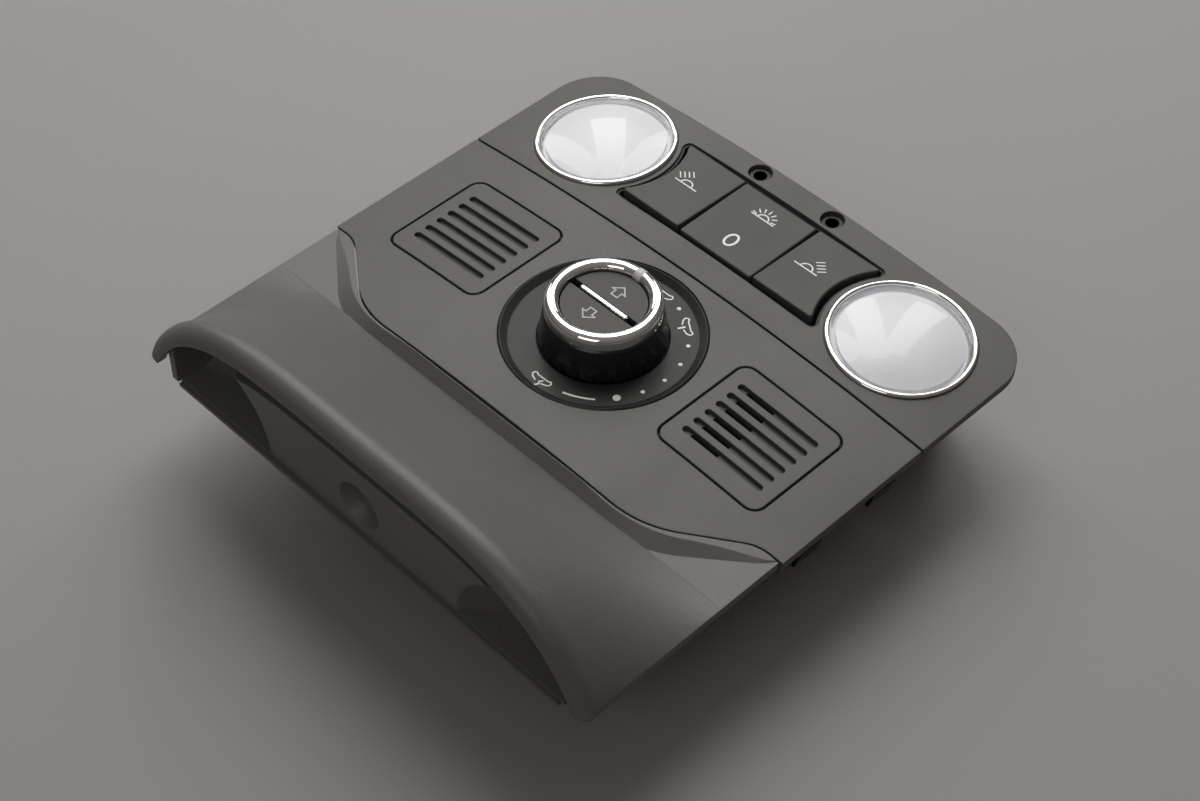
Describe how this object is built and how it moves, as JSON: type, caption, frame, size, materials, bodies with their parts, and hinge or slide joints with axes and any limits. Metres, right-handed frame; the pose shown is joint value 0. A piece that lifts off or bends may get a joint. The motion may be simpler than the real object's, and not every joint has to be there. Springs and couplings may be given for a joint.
{
  "type": "overhead console with reading lights",
  "caption": "Car roof console with domed reading lights in chrome rings, lamp switch keys, a roof control knob on a dial, slotted grilles and an arched nose cover.",
  "frame": {"origin": "under the middle of the console, on the plane of the two housings of the hidden side that it lies on", "axes": "+X to the right of the face, +Y towards the reading lights, +Z out of the visible face"},
  "size_m": [0.178, 0.1784, 0.0683],
  "materials": {
    "panel_plastic": "fine leather grain, matte",
    "lens_panel_plastic": "fine leather grain, matte",
    "nose_plastic": "fine leather grain, matte",
    "fascia_plastic": "fine grain, matte",
    "key_plastic": "soft matte with white printed signs",
    "dial_plastic": "satin with white printed scale",
    "knob_plastic": "satin",
    "bright_chrome": "polished",
    "pointer_white": "satin",
    "lens_clear": "clear, polished dome",
    "reflector_silver": "metallised, softly fluted",
    "bulb_glass": "clear",
    "inner_plastic": "plain moulded",
    "socket_plastic": "plain moulded",
    "housing_plastic": "plain moulded, sparked finish",
    "connector_plastic": "plain moulded",
    "board_green": "solder resist",
    "zinc_steel": "zinc plated"
  },
  "bodies": {
    "base": {"main_panel": "panel_plastic", "left_grille": "panel_plastic", "right_grille": "panel_plastic", "lens_panel": "lens_panel_plastic", "nose_cover": "nose_plastic", "front_fascia": "fascia_plastic", "microphone_cap": "fascia_plastic", "dial_plate": "dial_plastic", "knob_bar": "bright_chrome", "left_lens_ring": "bright_chrome", "right_lens_ring": "bright_chrome", "left_lens": "lens_clear", "right_lens": "lens_clear", "left_reflector": "reflector_silver", "right_reflector": "reflector_silver", "left_bulb": "bulb_glass", "right_bulb": "bulb_glass", "left_grille_back": "inner_plastic", "right_grille_back": "inner_plastic", "switch_frame": "inner_plastic", "cabin_microphone": "inner_plastic", "knob_column": "inner_plastic", "left_bulb_socket": "socket_plastic", "right_bulb_socket": "socket_plastic", "push_switches": "socket_plastic", "control_housing": "housing_plastic", "lamp_housing": "housing_plastic", "control_connector": "connector_plastic", "lamp_connector": "connector_plastic", "circuit_board": "board_green", "screw_sleeves": "zinc_steel", "spring_clips": "zinc_steel", "lid_screws": "zinc_steel"},
    "knob": {"knob_sleeve": "knob_plastic", "knob_ring": "bright_chrome", "knob_pointer": "pointer_white"},
    "left_key": {"left_reading_key": "key_plastic"},
    "right_key": {"right_reading_key": "key_plastic"},
    "rocker": {"courtesy_rocker": "key_plastic"},
    "shade_open": {"shade_open_button": "knob_plastic"},
    "shade_close": {"shade_close_button": "knob_plastic"}
  },
  "joints": [
    {"name": "knob_turn", "type": "hinge", "parent": "base", "child": "knob", "pos_m": [0, 0.00425, 0.046], "axis": [0, 0, 1], "range_deg": [-180, 0]},
    {"name": "left_key_press", "type": "hinge", "parent": "base", "child": "left_key", "pos_m": [-0.025, 0.07515, 0.037], "axis": [1, 0, 0], "range_deg": [0, 3], "stiffness_Nm_per_rad": 1, "springref_deg": -1.15},
    {"name": "right_key_press", "type": "hinge", "parent": "base", "child": "right_key", "pos_m": [0.025, 0.07515, 0.037], "axis": [1, 0, 0], "range_deg": [0, 3], "stiffness_Nm_per_rad": 1, "springref_deg": -1.15},
    {"name": "rocker_tilt", "type": "hinge", "parent": "base", "child": "rocker", "pos_m": [0, 0.06395, 0.037], "axis": [1, 0, 0], "range_deg": [-5, 5]},
    {"name": "shade_open_press", "type": "slide", "parent": "base", "child": "shade_open", "axis": [0, 0, -1], "range_m": [0, 0.0008], "stiffness_N_per_m": 1500, "springref_m": -0.0005},
    {"name": "shade_close_press", "type": "slide", "parent": "base", "child": "shade_close", "axis": [0, 0, -1], "range_m": [0, 0.0008], "stiffness_N_per_m": 1500, "springref_m": -0.0005}
  ]
}
